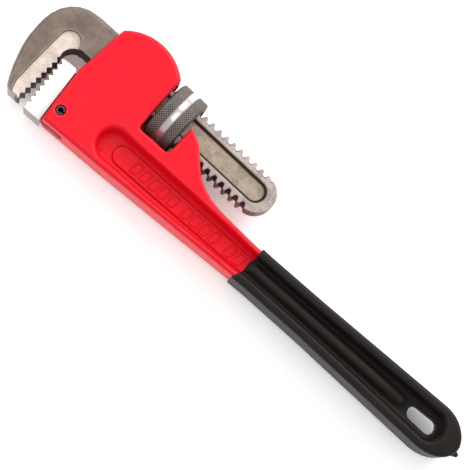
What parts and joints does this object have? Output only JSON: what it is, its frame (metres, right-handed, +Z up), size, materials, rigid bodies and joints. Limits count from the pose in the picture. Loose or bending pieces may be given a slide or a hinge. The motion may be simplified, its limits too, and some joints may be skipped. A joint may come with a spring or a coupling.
{
  "type": "pipe wrench",
  "caption": "Heavy straight pipe wrench with a toothed hook jaw on a threaded shank, a knurled adjusting nut, a pinned heel jaw and a dipped grip.",
  "frame": {"origin": "bottom centre of the closed wrench's bounding box, the wrench lying on its side", "axes": "+X along the handle from the jaws towards the hanging slot, +Y towards the adjusting nut, +Z up, across the wrench's thickness"},
  "size_m": [0.316, 0.0741, 0.0346],
  "materials": {
    "red_paint": "semi-gloss red enamel on cast iron",
    "black_vinyl": "satin dipped vinyl",
    "forged_steel": "forged and oiled, machined lands",
    "bright_steel": "ground",
    "knurled_steel": "diamond knurled",
    "spring_steel": "oil-tempered",
    "pin_steel": "blackened"
  },
  "bodies": {
    "handle": {"handle_casting": "red_paint", "grip_sleeve": "black_vinyl", "heel_jaw": "bright_steel", "heel_jaw_pin": "pin_steel"},
    "rocker": {"flat_spring": "spring_steel", "coil_spring": "spring_steel"},
    "nut": {"adjusting_nut": "knurled_steel"},
    "hook": {"hook_jaw": "forged_steel"}
  },
  "joints": [
    {"name": "hook_rock", "type": "hinge", "parent": "handle", "child": "rocker", "pos_m": [-0.0717, 0.01325, 0.0173], "axis": [0, 0, 1], "range_deg": [-2.5, 0], "stiffness_Nm_per_rad": 6, "springref_deg": 3.44},
    {"name": "nut_spin", "type": "hinge", "parent": "rocker", "child": "nut", "pos_m": [-0.0717, 0.01325, 0.0173], "axis": [0.9996, -0.0288, 0], "range_deg": [0, 3545]},
    {"name": "hook_slide", "type": "slide", "parent": "rocker", "child": "hook", "axis": [-0.9996, 0.0288, 0], "range_m": [0, 0.05]}
  ],
  "couplings": [
    {"joint": "nut_spin", "follows": "hook_slide", "rad_per_m": 1236.8}
  ]
}
